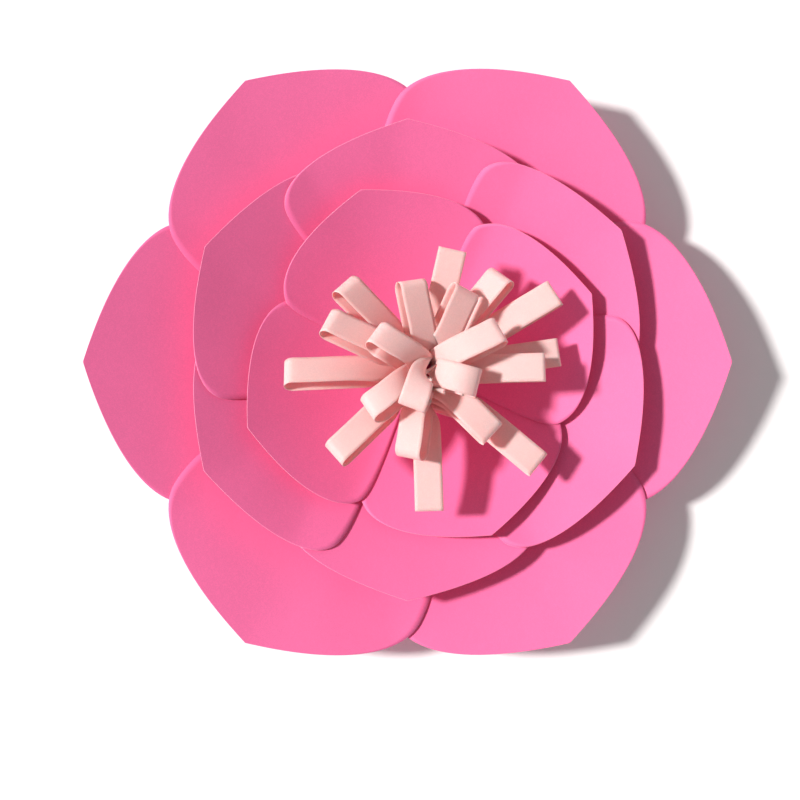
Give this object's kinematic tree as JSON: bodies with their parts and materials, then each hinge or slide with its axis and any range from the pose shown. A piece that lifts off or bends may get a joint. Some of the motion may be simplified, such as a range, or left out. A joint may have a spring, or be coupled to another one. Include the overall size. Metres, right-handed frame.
{
  "type": "giant paper wall flower",
  "caption": "Large wall flower of cut card: three rings of cupped, lapped petals on a round base, with a rolled and cut strip of paper loops standing in the middle.",
  "frame": {"origin": "middle of the base disc's flat back face, the face that goes against the wall", "axes": "+Z out of the flower towards the viewer, +Y up and +X to the right as the picture shows it; the flower lies on its back"},
  "size_m": [0.398, 0.3616, 0.084],
  "materials": {
    "pink_card": "matt",
    "base_card": "matt",
    "peach_paper": "matt"
  },
  "bodies": {
    "root": {"base_disc": "base_card", "outer_petal_1": "pink_card", "outer_petal_2": "pink_card", "outer_petal_3": "pink_card", "outer_petal_4": "pink_card", "outer_petal_5": "pink_card", "outer_petal_6": "pink_card", "middle_petal_1": "pink_card", "middle_petal_2": "pink_card", "middle_petal_3": "pink_card", "middle_petal_4": "pink_card", "middle_petal_5": "pink_card", "middle_petal_6": "pink_card", "inner_petal_1": "pink_card", "inner_petal_2": "pink_card", "inner_petal_3": "pink_card", "inner_petal_4": "pink_card", "loop_roll": "peach_paper"}
  },
  "joints": []
}
